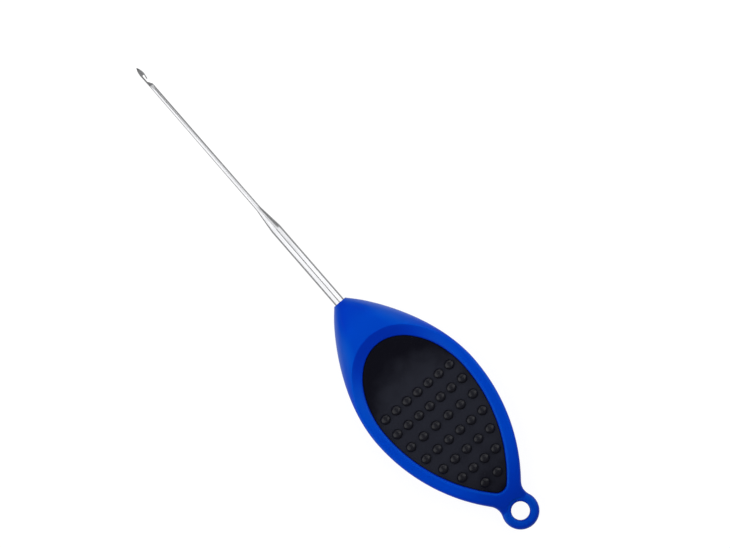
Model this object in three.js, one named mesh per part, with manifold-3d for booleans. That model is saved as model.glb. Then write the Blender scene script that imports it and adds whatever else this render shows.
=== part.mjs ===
// Hooked needle in a leaf-shaped pinch handle: a steel needle moulded into a plastic body,
// with a rubber thumb pad let into each side of the body. Sizes are in millimetres.
// The needle lies along X with its point at +X. Along the handle, places are given as their
// distance back from the nose, where the needle comes out. Z is up through the handle's thickness.

import * as THREE from 'three';
import { mergeVertices } from 'three/addons/utils/BufferGeometryUtils.js';
import Module from 'manifold-3d';

// Needle
const needleReach = 69.6; // nose to point
const shankDiameter = 2.5;
const shankReach = 21.9; // nose to the foot of the shoulder
const shoulderLength = 5.9; // cone from shank to blade
const bladeRootDiameter = 1.2;
const bladeTipDiameter = 1.05;

// Hook at the point of the needle
const pointDiameter = 1.15;
const pointLength = 2; // ogive from the tip to its widest ring
const throatSetback = 0.25; // from the widest ring to the floor of the throat
const barbLength = 1.2; // free finger behind the floor of the throat
const barbThickness = 0.28;
const barbLean = 0.2; // the finger's end leans in towards the neck
const throatOpening = 0.5; // from the finger's end to the foot of the scarf
const scarfRun = 1.15; // ramp from the neck back to the full blade
const neckThickness = 0.34;
const hookThickness = 0.66; // between the flats that are pressed on the hook's two faces
const flatRunOut = 1.5; // ramp from those flats back to the round blade

// Anchor of the needle inside the handle
const tangWidth = 3.6;
const tangThickness = 1.2;
const tangLength = 11; // flattened tail behind the round shank
const tangOverlap = 2.5; // stretch where the flat tail is still part of the round shank
const seatWall = 2; // plastic between the end of the round shank and the pad
const socketGap = 0.1;

// Handle body
const handleWidth = 29;
const handleThickness = 9.6;
const widestAt = 29.4;
const noseWall = 0.25; // plastic round the socket's mouth
const noseAngle = THREE.MathUtils.degToRad(50);
const nosePull = 2.9; // how far the outline keeps the nose's direction
const bellyPull = 14.3; // how far it keeps level ahead of the widest place
const noseRise = 10; // length over which the nose swells to the full thickness
const crownEnd = 37; // where the body starts to thin towards the eye
const tailCurve = 5; // power of that thinning: slow at first, fast at the eye
const edgeRadius = 0.8;
const ovalUntil = 4; // the round nose flattens on top up to here
const ovalShare = 0.55; // share of the half width that still curves down to the edge there
const ovalFlat = 0.05; // narrow flat that an oval keeps on top and at its sides
const tightenFrom = 8; // from here that curve tightens
const tightenTo = 23; // and is a round edge of the small radius from here on

// Lanyard eye
const eyeAt = 61.9;
const eyeDiameter = 8.5;
const eyeHoleDiameter = 4.2;
const eyeThickness = 3.6;
const eyeEdgeRadius = 1;
const eyeChamfer = 0.4;
const neckInset = 0.2; // the neck lies this far inside the eye
const neckWidth = 7.3;
const neckFillet = 3.2;

// Thumb dish and pads
const rimWidth = 2.9;
const rimHeight = 0.7; // rim above the pad, along the sides
const thumbStop = 1.9; // wall above the pad, at the front of the dish
const dishBand = 2.5; // width of the dish's sloping wall at the front
const dishSideBand = 1.8; // and beside the pad, where it turns into the top of the rim
const dishStep = 0.1; // step from the pad up to the foot of that wall
const dishRunOut = 0.05; // the wall ends this far above the rim, clear of it
const scoopFrom = 13; // the pad starts to climb out of the dish here
const scoopTo = 31; // and follows the rim from here on
const padFrontLength = 16.7; // half ellipse ahead of the widest place
const padRearRadius = 37.9;
const padTipRadius = 2.2;
const padThickness = 1;
const padGap = 0.2;
const padEdge = 0.25;

// Nubs on the pads
const nubDiameter = 2.3;
const nubHeight = 0.65;
const nubRoot = 0.4; // sunk into the pad
const nubRowPitch = 4.2;
const nubLead = 2.8; // first row, ahead of the widest place
const nubMargin = 2; // outer nubs, in from the pad's edge
const nubPitchMin = 3.1;
const nubPitchMax = 3.65;

// Facets
const shankSides = 24;
const ogiveSteps = 6;
const hookSteps = 4;
const cornerSteps = 5;
const frontSteps = 18;
const rearSteps = 14;
const filletSteps = 5;
const eyeSides = 40;
const eyeEdgeSteps = 2;
const padFrontSteps = 22;
const padRearSteps = 12;
const padTipSteps = 4;
const bedSteps = 28;
const nubSides = 10;
const nubRings = 3;

// Values that follow from the sizes above
const cutterReach = 1; // cutters stand this far out of the piece that they cut
const shankRadius = shankDiameter / 2;
const bladeRadius = bladeTipDiameter / 2;
const pointRadius = pointDiameter / 2;
const throatFloor = pointLength + throatSetback;
const barbEnd = throatFloor + barbLength;
const scarfFoot = barbEnd + throatOpening;
const scarfTop = scarfFoot + scarfRun;
const crown = handleThickness / 2;
const widest = handleWidth / 2;
const noseRadius = shankRadius + socketGap + noseWall;
const eyeRadius = eyeDiameter / 2;
const eyeHalf = eyeThickness / 2;
const neckAt = eyeAt - eyeRadius + neckInset;
const tailEnd = eyeAt - eyeHoleDiameter / 2;
const handleLength = eyeAt + eyeRadius;
const padHalfWidth = widest - rimWidth;
const padFrontAt = widestAt - padFrontLength;
const shankSeat = padFrontAt - seatWall;
const rearRadius = arcRadius(neckAt - widestAt, widest - neckWidth / 2);
const rearCentre = new THREE.Vector2(widestAt, widest - rearRadius);
const padRearCentre = new THREE.Vector2(widestAt, padHalfWidth - padRearRadius);
const noseArc = arcRadius(noseRise, crown - noseRadius);

const { lerp, smoothstep } = THREE.MathUtils;
const wasm = await Module();
wasm.setup();

// Radius of an arc that starts level and falls by drop over run
function arcRadius(run, drop) {
  return (run * run + drop * drop) / (2 * drop);
}

// Height that such an arc has lost after some distance
function arcDrop(radius, distance) {
  return radius - Math.sqrt(radius * radius - distance * distance);
}

// Closed geometry as a solid, for joining and cutting
function solid(geometry) {
  geometry.deleteAttribute('normal');
  geometry.deleteAttribute('uv');
  const merged = mergeVertices(geometry);
  return new wasm.Manifold(new wasm.Mesh({
    numProp: 3,
    vertProperties: new Float32Array(merged.attributes.position.array),
    triVerts: new Uint32Array(merged.index.array),
  }));
}

// Solid as a named mesh
function piece(name, body, material) {
  const { vertProperties, triVerts } = body.getMesh();
  const geometry = new THREE.BufferGeometry();
  geometry.setAttribute('position', new THREE.BufferAttribute(vertProperties, 3));
  geometry.setIndex(new THREE.BufferAttribute(triVerts, 1));
  geometry.computeVertexNormals();
  const mesh = new THREE.Mesh(geometry, material);
  mesh.name = name;
  return mesh;
}

// Skin over a row of loops with the same number of points. The first and the last loop are closed
// by strips from side to side, so that a cap which bends along the handle stays level across it.
function loft(loops) {
  const count = loops[0].length;
  const last = (loops.length - 1) * count;
  const faces = [];
  for (let base = 0; base < last; base += count) {
    for (let i = 0; i < count; i++) {
      const j = (i + 1) % count;
      faces.push(base + i, base + j, base + count + j, base + i, base + count + j, base + count + i);
    }
  }
  for (let i = 1; i < count / 2; i++) {
    const across = count - i;
    faces.push(i, i - 1, across, last + i, last + across, last + i - 1);
    if (i > 1) {
      faces.push(i - 1, across + 1, across, last + i - 1, last + across, last + across + 1);
    }
  }
  const end = count / 2;
  faces.push(end, end - 1, end + 1, last + end, last + end + 1, last + end - 1);
  const geometry = new THREE.BufferGeometry().setFromPoints(loops.flat());
  geometry.setIndex(faces);
  return geometry;
}

// Shape drawn in X and Y, made into a prism between two heights
function prism(shape, bottom, top, curveSegments) {
  const settings = { depth: top - bottom, bevelEnabled: false, curveSegments };
  return new THREE.ExtrudeGeometry(shape, settings).translate(0, 0, bottom);
}

// Profile of radius and place along X, turned about the X axis
function turned(profile, sides) {
  return new THREE.LatheGeometry(profile, sides).rotateZ(-Math.PI / 2);
}

// Profile of radius and height, turned about the axis of the lanyard eye
function turnedOnEye(profile) {
  return new THREE.LatheGeometry(profile, eyeSides).rotateX(Math.PI / 2).translate(-eyeAt, 0, 0);
}

// The same geometry on the handle's other face
function flipped(geometry) {
  return geometry.clone().rotateX(Math.PI);
}

// Needle: shank, shoulder, blade and ogive point in one turned profile
function needleBlank() {
  const ogive = arcRadius(pointLength, pointRadius);
  const profile = [
    new THREE.Vector2(0, -shankSeat),
    new THREE.Vector2(shankRadius, -shankSeat),
    new THREE.Vector2(shankRadius, shankReach),
    new THREE.Vector2(bladeRootDiameter / 2, shankReach + shoulderLength),
    new THREE.Vector2(bladeRadius, needleReach - scarfTop),
  ];
  for (let i = 0; i < ogiveSteps; i++) {
    const behindTip = lerp(pointLength, 0, i / ogiveSteps);
    const radius = pointRadius - arcDrop(ogive, pointLength - behindTip);
    profile.push(new THREE.Vector2(radius, needleReach - behindTip));
  }
  profile.push(new THREE.Vector2(0, needleReach));
  return turned(profile, shankSides);
}

// Throat of the hook, drawn with X back from the tip and Y towards the barb. Its edge goes down the
// outside of the barb, round the barb's end, up to the throat's floor, and back by neck and scarf.
function hookCut() {
  const outside = pointRadius + cutterReach;
  const neckEdge = neckThickness - bladeRadius;
  const barbHalf = barbThickness / 2;
  const barbTip = new THREE.Vector2(barbEnd - barbHalf, pointRadius - barbLean - barbHalf);
  const throatHalf = (pointRadius - barbThickness - neckEdge) / 2;
  const throat = new THREE.Vector2(throatFloor + throatHalf, neckEdge + throatHalf);
  const shape = new THREE.Shape();
  shape.moveTo(pointLength, outside);
  shape.lineTo(pointLength, pointRadius);
  shape.absarc(barbTip.x, barbTip.y, barbHalf, Math.PI / 2, -Math.PI / 2, true);
  shape.absarc(throat.x, throat.y, throatHalf, Math.PI / 2, Math.PI * 1.5, false);
  shape.lineTo(scarfFoot, neckEdge);
  shape.lineTo(scarfTop, bladeRadius);
  shape.lineTo(scarfTop + scarfRun, outside);
  const cut = prism(shape, -cutterReach, cutterReach, hookSteps);
  return cut.rotateZ(Math.PI).translate(needleReach, 0, 0);
}

// What is pressed off one face of the hook, drawn with X back from the tip and Y up
function hookFlat() {
  const outside = pointRadius + cutterReach;
  const shape = new THREE.Shape();
  shape.moveTo(-cutterReach, outside);
  shape.lineTo(-cutterReach, hookThickness / 2);
  shape.lineTo(scarfTop, hookThickness / 2);
  shape.lineTo(scarfTop + flatRunOut, pointRadius);
  shape.lineTo(scarfTop + flatRunOut, outside);
  const cut = prism(shape, -outside, outside).rotateX(Math.PI / 2);
  return cut.rotateZ(Math.PI).translate(needleReach, 0, 0);
}

// Flattened tail of the needle, grown by the socket's gap for the slot that holds it
function tang(grow) {
  const half = tangWidth / 2 + grow;
  const root = shankSeat - tangOverlap - grow;
  const endCentre = shankSeat + tangLength - tangWidth / 2;
  const shape = new THREE.Shape();
  shape.moveTo(-root, -half);
  shape.lineTo(-root, half);
  shape.absarc(-endCentre, 0, half, Math.PI / 2, Math.PI * 1.5, false);
  return prism(shape, -tangThickness / 2, tangThickness / 2, hookSteps);
}

// Round part of the socket, open at the nose
function socketBore() {
  const radius = shankRadius + socketGap;
  const profile = [
    new THREE.Vector2(0, -shankSeat - socketGap),
    new THREE.Vector2(radius, -shankSeat - socketGap),
    new THREE.Vector2(radius, cutterReach),
    new THREE.Vector2(0, cutterReach),
  ];
  return turned(profile, shankSides);
}

// Half the handle's thickness, some way back from the nose
function halfThickness(back) {
  if (back < noseRise) {
    return crown - arcDrop(noseArc, noseRise - back);
  }
  if (back < crownEnd) {
    return crown;
  }
  const thinned = Math.min((back - crownEnd) / (tailEnd - crownEnd), 1) ** tailCurve;
  return lerp(crown, eyeHalf, thinned);
}

// Centre of the hollow fillet that touches the rear of the body and the eye
function filletCentre() {
  const toEye = new THREE.Vector2(eyeAt, 0).sub(rearCentre);
  const span = toEye.length();
  const fromRear = rearRadius + neckFillet;
  const fromEye = eyeRadius + neckFillet;
  const along = (fromRear * fromRear - fromEye * fromEye + span * span) / (2 * span);
  const aside = Math.sqrt(fromRear * fromRear - along * along);
  const direction = toEye.normalize();
  const sideways = new THREE.Vector2(-direction.y, direction.x);
  return rearCentre.clone().addScaledVector(direction, along).addScaledVector(sideways, aside);
}

// One side of the handle's outline, from the nose into the eye
function handleOutline() {
  const front = new THREE.CubicBezierCurve(
    new THREE.Vector2(0, noseRadius),
    new THREE.Vector2(nosePull * Math.cos(noseAngle), noseRadius + nosePull * Math.sin(noseAngle)),
    new THREE.Vector2(widestAt - bellyPull, widest),
    new THREE.Vector2(widestAt, widest),
  );
  const centre = filletCentre();
  const rearEnd = Math.atan2(centre.y - rearCentre.y, centre.x - rearCentre.x);
  const filletEnd = Math.atan2(-centre.y, eyeAt - centre.x);
  const { x, y } = rearCentre;
  const rear = new THREE.ArcCurve(x, y, rearRadius, Math.PI / 2, rearEnd, true);
  const fillet = new THREE.ArcCurve(centre.x, centre.y, neckFillet, rearEnd - Math.PI, filletEnd);
  const insideEye = new THREE.Vector2(eyeAt, fillet.getPoint(1).y);
  return [
    ...front.getPoints(frontSteps),
    ...rear.getPoints(rearSteps).slice(1),
    ...fillet.getPoints(filletSteps).slice(1),
    insideEye,
  ];
}

// Section across the handle: flat top and bottom, with oval corners that shrink to round edges
function handleSection({ x: back, y: halfWidth }) {
  const half = halfThickness(back);
  const curved = lerp(1, ovalShare, smoothstep(back, 0, ovalUntil));
  const tight = smoothstep(back, tightenFrom, tightenTo);
  const cornerY = lerp(halfWidth * curved - ovalFlat, edgeRadius, tight);
  const cornerZ = lerp(half - ovalFlat, edgeRadius, tight);
  const loop = [];
  for (let corner = 0; corner < 4; corner++) {
    const centreY = (corner % 3 === 0 ? 1 : -1) * (halfWidth - cornerY);
    const centreZ = (corner < 2 ? 1 : -1) * (half - cornerZ);
    for (let step = 0; step <= cornerSteps; step++) {
      const angle = (corner + step / cornerSteps) * Math.PI / 2;
      const y = centreY + cornerY * Math.cos(angle);
      const z = centreZ + cornerZ * Math.sin(angle);
      loop.push(new THREE.Vector3(-back, -y, z));
    }
  }
  return loop;
}

// Lanyard eye as a disc with round edges
function eyeDisc() {
  const profile = new THREE.Path();
  const inner = eyeRadius - eyeEdgeRadius;
  profile.moveTo(0, -eyeHalf);
  profile.lineTo(inner, -eyeHalf);
  profile.absarc(inner, eyeEdgeRadius - eyeHalf, eyeEdgeRadius, -Math.PI / 2, 0, false);
  profile.absarc(inner, eyeHalf - eyeEdgeRadius, eyeEdgeRadius, 0, Math.PI / 2, false);
  profile.lineTo(0, eyeHalf);
  return turnedOnEye(profile.getPoints(eyeEdgeSteps));
}

// Hole of the eye, with its two mouths chamfered
function eyeHole() {
  const radius = eyeHoleDiameter / 2;
  const mouth = radius + eyeChamfer + cutterReach;
  return turnedOnEye([
    new THREE.Vector2(0, -eyeHalf - cutterReach),
    new THREE.Vector2(mouth, -eyeHalf - cutterReach),
    new THREE.Vector2(radius, eyeChamfer - eyeHalf),
    new THREE.Vector2(radius, eyeHalf - eyeChamfer),
    new THREE.Vector2(mouth, eyeHalf + cutterReach),
    new THREE.Vector2(0, eyeHalf + cutterReach),
  ]);
}

// Height of the pad between its nubs: low in the thumb dish, then level with the rim less its height
function padTop(back) {
  const dished = crown - thumbStop;
  const besideRim = halfThickness(back) - rimHeight;
  return lerp(dished, besideRim, smoothstep(back, scoopFrom, scoopTo));
}

// One side of the pad's outline from its front to its rear tip. Each point has its outward direction.
function padOutline() {
  const side = [];
  for (let i = 0; i < padFrontSteps; i++) {
    const angle = i / padFrontSteps * Math.PI / 2;
    const cos = Math.cos(angle);
    const sin = Math.sin(angle);
    const point = new THREE.Vector2(widestAt - padFrontLength * cos, padHalfWidth * sin);
    const outward = new THREE.Vector2(-padHalfWidth * cos, padFrontLength * sin).normalize();
    side.push({ point, outward });
  }
  const tipOffset = padRearRadius - padTipRadius;
  const tipAngle = Math.asin(-padRearCentre.y / tipOffset);
  for (let i = 0; i < padRearSteps; i++) {
    const angle = lerp(Math.PI / 2, tipAngle, i / padRearSteps);
    const outward = new THREE.Vector2(Math.cos(angle), Math.sin(angle));
    side.push({ point: outward.clone().multiplyScalar(padRearRadius).add(padRearCentre), outward });
  }
  const tipCentre = new THREE.Vector2(widestAt + tipOffset * Math.cos(tipAngle), 0);
  for (let i = 0; i <= padTipSteps; i++) {
    const angle = lerp(tipAngle, 0, i / padTipSteps);
    const outward = new THREE.Vector2(Math.cos(angle), Math.sin(angle));
    side.push({ point: outward.clone().multiplyScalar(padTipRadius).add(tipCentre), outward });
  }
  return side;
}

// Loop round the pad, grown outwards, at a height that changes along the handle
function padLoop(growAt, heightAt) {
  const side = padOutline().map(({ point, outward }) => {
    const place = point.clone().addScaledVector(outward, growAt(point.x));
    return new THREE.Vector3(-place.x, place.y, heightAt(point.x));
  });
  const otherSide = side.slice(1, -1).reverse().map(({ x, y, z }) => new THREE.Vector3(x, -y, z));
  return [...side, ...otherSide];
}

// All that lies above the bed of the pad
function aboveBed() {
  const from = padFrontAt - padGap - dishBand - cutterReach;
  const shape = new THREE.Shape();
  shape.moveTo(-from, handleThickness);
  for (let i = 0; i <= bedSteps; i++) {
    const back = lerp(from, neckAt, i / bedSteps);
    shape.lineTo(-back, padTop(back) - padThickness);
  }
  shape.lineTo(-neckAt, handleThickness);
  return prism(shape, -widest, widest).rotateX(Math.PI / 2);
}

// Pocket of the pad, opening into the thumb dish. The dish's wall flattens towards the sides,
// where it runs out into the top of the rim.
function dish() {
  const foot = (back) => {
    const dished = crown - thumbStop + dishStep;
    const aboveRim = halfThickness(back) + dishRunOut;
    return lerp(dished, aboveRim, smoothstep(back, scoopFrom, scoopTo));
  };
  const brow = (back) => Math.max(foot(back), halfThickness(back)) + dishStep;
  const inner = () => padGap;
  const band = (back) => lerp(dishBand, dishSideBand, smoothstep(back, scoopFrom, scoopTo));
  const outer = (back) => padGap + band(back);
  return loft([
    padLoop(inner, () => 0),
    padLoop(inner, foot),
    padLoop((back) => padGap + band(back) / 2, (back) => (foot(back) + brow(back)) / 2),
    padLoop(outer, brow),
    padLoop(outer, (back) => brow(back) + cutterReach),
  ]);
}

// Slab of the pad, with its upper edge broken
function padSlab() {
  return loft([
    padLoop(() => 0, () => 0),
    padLoop(() => 0, (back) => padTop(back) - padEdge),
    padLoop(() => -padEdge, padTop),
  ]);
}

// Half the pad's width beside its nubs
function padHalfWidthAt(back) {
  const from = back - widestAt;
  if (from < 0) {
    return padHalfWidth * Math.sqrt(1 - (from / padFrontLength) ** 2);
  }
  return padHalfWidth - arcDrop(padRearRadius, from);
}

function nub() {
  const radius = arcRadius(nubDiameter / 2, nubHeight);
  const profile = [new THREE.Vector2(0, -nubRoot), new THREE.Vector2(nubDiameter / 2, -nubRoot)];
  for (let i = 0; i < nubRings; i++) {
    const out = nubDiameter / 2 * Math.cos(i / nubRings * Math.PI / 2);
    profile.push(new THREE.Vector2(out, nubHeight - arcDrop(radius, out)));
  }
  profile.push(new THREE.Vector2(0, nubHeight));
  return new THREE.LatheGeometry(profile, nubSides).rotateX(Math.PI / 2);
}

// Rows of nubs over the rear of the pad, for as far as it is wide enough for two side by side
function nubs() {
  const domes = [];
  let back = widestAt - nubLead;
  let spread = padHalfWidthAt(back) - nubMargin;
  while (2 * spread > nubPitchMin) {
    const gaps = Math.floor(2 * spread / nubPitchMin);
    const pitch = Math.min(2 * spread / gaps, nubPitchMax);
    for (let i = 0; i <= gaps; i++) {
      domes.push(nub().translate(-back, (i - gaps / 2) * pitch, padTop(back)));
    }
    back += nubRowPitch;
    spread = padHalfWidthAt(back) - nubMargin;
  }
  return domes;
}

function needle() {
  return solid(needleBlank())
    .subtract(solid(hookCut()))
    .subtract(solid(hookFlat()))
    .subtract(solid(flipped(hookFlat())))
    .add(solid(tang(0)));
}

function handleBody() {
  const pocket = solid(dish()).intersect(solid(aboveBed()));
  const otherPocket = solid(flipped(dish())).intersect(solid(flipped(aboveBed())));
  return solid(loft(handleOutline().map(handleSection)))
    .add(solid(eyeDisc()))
    .subtract(solid(eyeHole()))
    .subtract(pocket)
    .subtract(otherPocket)
    .subtract(solid(socketBore()))
    .subtract(solid(tang(socketGap)));
}

// Pad on the upper or, flipped, the lower face
function gripPad(face) {
  let pad = solid(face(padSlab())).intersect(solid(face(aboveBed())));
  for (const dome of nubs()) {
    pad = pad.add(solid(face(dome)));
  }
  return pad;
}

const steel = new THREE.MeshStandardMaterial({ color: 0xd8dbdf, metalness: 1, roughness: 0.18 });
const bluePlastic = new THREE.MeshStandardMaterial({ color: 0x023db7, metalness: 0, roughness: 0.42 });
const upperRubber = new THREE.MeshStandardMaterial({ color: 0x1c1d24, metalness: 0, roughness: 0.75 });
const lowerRubber = upperRubber.clone();

// The origin lies under the middle of the whole tool, on the surface that the rim rests on
const tool = new THREE.Group();
tool.position.set((handleLength - needleReach) / 2, 0, crown);
tool.add(piece('needle', needle(), steel));
tool.add(piece('handle_body', handleBody(), bluePlastic));
tool.add(piece('upper_grip_pad', gripPad((geometry) => geometry), upperRubber));
tool.add(piece('lower_grip_pad', gripPad(flipped), lowerRubber));

export default tool;
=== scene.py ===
from math import asin, atan2, cos, hypot, pi, radians, sin, sqrt

import bpy
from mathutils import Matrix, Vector


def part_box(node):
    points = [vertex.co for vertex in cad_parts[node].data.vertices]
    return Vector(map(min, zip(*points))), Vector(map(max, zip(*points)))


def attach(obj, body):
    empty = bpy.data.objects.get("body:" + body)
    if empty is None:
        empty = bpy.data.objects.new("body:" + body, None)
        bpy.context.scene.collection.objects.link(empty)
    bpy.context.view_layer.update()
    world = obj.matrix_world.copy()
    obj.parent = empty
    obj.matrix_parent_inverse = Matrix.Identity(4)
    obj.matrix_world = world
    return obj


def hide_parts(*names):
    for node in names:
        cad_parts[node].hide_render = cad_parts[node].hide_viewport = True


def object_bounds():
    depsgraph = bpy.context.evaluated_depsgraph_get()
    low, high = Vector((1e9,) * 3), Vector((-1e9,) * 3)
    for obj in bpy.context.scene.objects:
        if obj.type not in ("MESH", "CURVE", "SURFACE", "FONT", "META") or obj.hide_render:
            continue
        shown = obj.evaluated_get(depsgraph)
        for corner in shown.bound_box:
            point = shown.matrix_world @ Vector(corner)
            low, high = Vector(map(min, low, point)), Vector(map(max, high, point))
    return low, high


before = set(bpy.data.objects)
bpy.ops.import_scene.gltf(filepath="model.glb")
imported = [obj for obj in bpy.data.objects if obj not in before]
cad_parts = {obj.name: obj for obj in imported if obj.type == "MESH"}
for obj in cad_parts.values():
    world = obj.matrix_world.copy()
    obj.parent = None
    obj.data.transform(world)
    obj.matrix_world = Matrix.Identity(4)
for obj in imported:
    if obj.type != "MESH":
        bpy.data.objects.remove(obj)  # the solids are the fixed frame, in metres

cadLow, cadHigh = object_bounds()  # box of the solids, before any looks
mm = 0.001
mergeGap = 0.002 * mm  # points closer than this become one
fineGap = 0.0005 * mm  # and this close on the small needle
seamGap = 0.004 * mm  # along the seam of a mirrored mesh
bodyLow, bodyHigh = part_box("handle_body")
needleLow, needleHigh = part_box("needle")
noseX = bodyHigh.x  # the needle comes out of the handle here
midZ = (bodyLow.z + bodyHigh.z) / 2  # both faces of the handle are alike about this height


# Places are millimetres behind the nose, to the side, and up from the handle's middle plane
def place(back, side, up):
    return Vector((noseX - back * mm, side * mm, up * mm))


def mix(first, second, share):
    return first + (second - first) * share


def ease(value, low, high):
    share = min(max((value - low) / (high - low), 0), 1)
    return share * share * (3 - 2 * share)


# Radius of an arc that starts level and falls by drop over run
def arcRadius(run, drop):
    return (run * run + drop * drop) / (2 * drop)


def arcDrop(radius, distance):
    return radius - sqrt(radius * radius - distance * distance)


# Tools that every piece uses

def deselectAll():
    if bpy.context.mode != "OBJECT":
        bpy.ops.object.mode_set(mode="OBJECT")
    bpy.ops.object.select_all(action="DESELECT")


def editOnly(piece):
    deselectAll()
    piece.select_set(True)
    bpy.context.view_layer.objects.active = piece
    bpy.ops.object.mode_set(mode="EDIT")
    bpy.ops.mesh.select_mode(type="VERT")


# In edit mode, leaves just the points chosen by their place selected
def selectWhere(piece, test):
    bpy.ops.mesh.select_all(action="DESELECT")
    bpy.ops.object.mode_set(mode="OBJECT")
    for vertex in piece.data.vertices:
        vertex.select = test(vertex.co)
    bpy.ops.object.mode_set(mode="EDIT")


def useModifier(piece, kind, **settings):
    deselectAll()
    piece.select_set(True)
    bpy.context.view_layer.objects.active = piece
    modifier = piece.modifiers.new(kind.lower(), kind)
    for key, value in settings.items():
        setattr(modifier, key, value)
    bpy.ops.object.modifier_apply(modifier=modifier.name)


def combine(piece, other, operation):
    useModifier(piece, "BOOLEAN", operation=operation, object=other, solver="EXACT")
    bpy.data.objects.remove(other)


def cleanUp(piece, distance=mergeGap):
    editOnly(piece)
    bpy.ops.mesh.select_all(action="SELECT")
    bpy.ops.mesh.remove_doubles(threshold=distance)
    bpy.ops.mesh.dissolve_degenerate(threshold=distance)
    bpy.ops.mesh.normals_make_consistent(inside=False)
    deselectAll()


# A grid whose points are pulled to where each of its columns and rows belongs
def shapedGrid(name, columns, rows, pointAt):
    deselectAll()
    bpy.ops.mesh.primitive_grid_add(x_subdivisions=columns, y_subdivisions=rows, size=1)
    piece = bpy.context.object
    piece.name = name
    for vertex in piece.data.vertices:
        column = round((vertex.co.x + 0.5) * columns)
        row = round((vertex.co.y + 0.5) * rows)
        vertex.co = pointAt(column, row)
    return piece


# Keeps a share for each point of the mesh, which a material can read
def markPoints(piece, name, shareAt):
    marks = piece.data.attributes.new(name, "FLOAT", "POINT")
    for vertex, mark in zip(piece.data.vertices, marks.data):
        x, y, z = vertex.co
        mark.value = shareAt((noseX - x) / mm, abs(y) / mm, z / mm)


# Lifts a piece from the middle plane to its height, and gives it to the frame
def finishPiece(piece, node, material, smoothAngle):
    editOnly(piece)
    bpy.ops.mesh.select_all(action="SELECT")
    bpy.ops.transform.translate(value=(0, 0, midZ))
    deselectAll()
    piece.select_set(True)
    bpy.context.view_layer.objects.active = piece
    bpy.ops.object.shade_smooth_by_angle(angle=radians(smoothAngle))
    piece.data.materials.clear()
    piece.data.materials.append(material)
    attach(piece, "root")
    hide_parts(node)
    print(piece.name, "has", len(piece.data.polygons), "faces")


handle = {
    "length": (bodyHigh.x - bodyLow.x) / mm,
    "halfWidth": (bodyHigh.y - bodyLow.y) / 2 / mm,
    "crown": (bodyHigh.z - bodyLow.z) / 2 / mm,
    "widestAt": 29.4,
    "noseRadius": 1.6,
    "noseAngle": 50,  # degrees, how the outline leaves the nose
    "nosePull": 2.9,
    "bellyPull": 14.3,
    "noseRise": 10,  # the nose swells to the full thickness over this length
    "crownEnd": 37,  # and the tail thins from here
    "edgeRadius": 0.8,
    "ovalUntil": 4,  # the round nose turns into a flattened oval up to here
    "ovalShare": 0.55,  # share of its half width that curves down to the edge
    "ovalFlat": 0.05,
    "tightenFrom": 8,  # from here the edge tightens to its small radius
    "tightenTo": 23,
    "edgeLimit": 0.75,  # most of the way to the crest that the edge's curve may take
    "tailCurve": 5,  # the tail falls slowly at first, and fast at the eye
    "tailSink": 0.1,  # the tail ends this far inside the eye's cheeks
    "noseEdge": 0.12,
    "boreGap": 0.1,
    "boreMouth": 0.3,  # a ring of the mesh here keeps the bore's mouth crisp
    "boreDepth": 10.5,
    "halvings": 40,  # of the search for a place on the outline
    "smoothAngle": 40,
}
eye = {
    "radius": 4.25,
    "holeRadius": 2.1,
    "half": 1.8,
    "outerEdge": 1,
    "holeEdge": 0.6,
    "neckAt": 57.85,
    "neckWidth": 7.3,
    "neckFillet": 3.2,
    "cutRadius": 3,  # the tail is cut away under the eye to here
    "steps": 72,
    "edgeSteps": 6,
}
dish = {
    "rimWidth": 2.9,
    "rimHeight": 0.7,
    "thumbStop": 1.9,  # height of the wall ahead of the thumb
    "band": 2.5,  # width of that wall at the front, seen from above
    "sideBand": 1.8,  # and where it has turned into the rim's flat top
    "step": 0.1,
    "scoopFrom": 13,
    "scoopTo": 31,
    "frontLength": 16.7,
    "rearRadius": 37.9,
    "tipRadius": 2.2,
    "gap": 0.1,  # round the pad
    "inset": 1,  # depth of the pad's bed
    "crestRound": 0.16,
    "innerEdge": 0.65,  # rounded inner edge of the rim
    "brinkShare": 0.25,  # a ring of the mesh on that edge, as a share of it
    "wallShare": 0.55,  # and one on the wall
    "bedClear": 0.02,
    "centreIn": 3,  # the rows of the mesh meet on a line this far in from the pad's ends
}

handle["eyeAt"] = handle["length"] - eye["radius"]
rearRun = eye["neckAt"] - handle["widestAt"]
rearRadius = arcRadius(rearRun, handle["halfWidth"] - eye["neckWidth"] / 2)
rearCentre = (handle["widestAt"], handle["halfWidth"] - rearRadius)
padHalfWidth = handle["halfWidth"] - dish["rimWidth"]
padRearRadius = dish["rearRadius"]
padRearSide = padHalfWidth - padRearRadius
padFrontAt = handle["widestAt"] - dish["frontLength"]
tipOffset = padRearRadius - dish["tipRadius"]
tipAngle = asin(-padRearSide / tipOffset)
tipCentre = handle["widestAt"] + tipOffset * cos(tipAngle)
padRearAt = tipCentre + dish["tipRadius"]
noseArc = arcRadius(handle["noseRise"], handle["crown"] - handle["noseRadius"])
tailRun = handle["eyeAt"] - eye["holeRadius"] - handle["crownEnd"]


# Centre of the hollow fillet between the rear of the body and the eye
def filletCentre():
    alongX = handle["eyeAt"] - rearCentre[0]
    alongY = -rearCentre[1]
    span = hypot(alongX, alongY)
    fromRear = rearRadius + eye["neckFillet"]
    fromEye = eye["radius"] + eye["neckFillet"]
    along = (fromRear**2 - fromEye**2 + span**2) / (2 * span)
    aside = sqrt(fromRear**2 - along**2)
    unitX, unitY = alongX / span, alongY / span
    return (
        rearCentre[0] + unitX * along - unitY * aside,
        rearCentre[1] + unitY * along + unitX * aside,
    )


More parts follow.
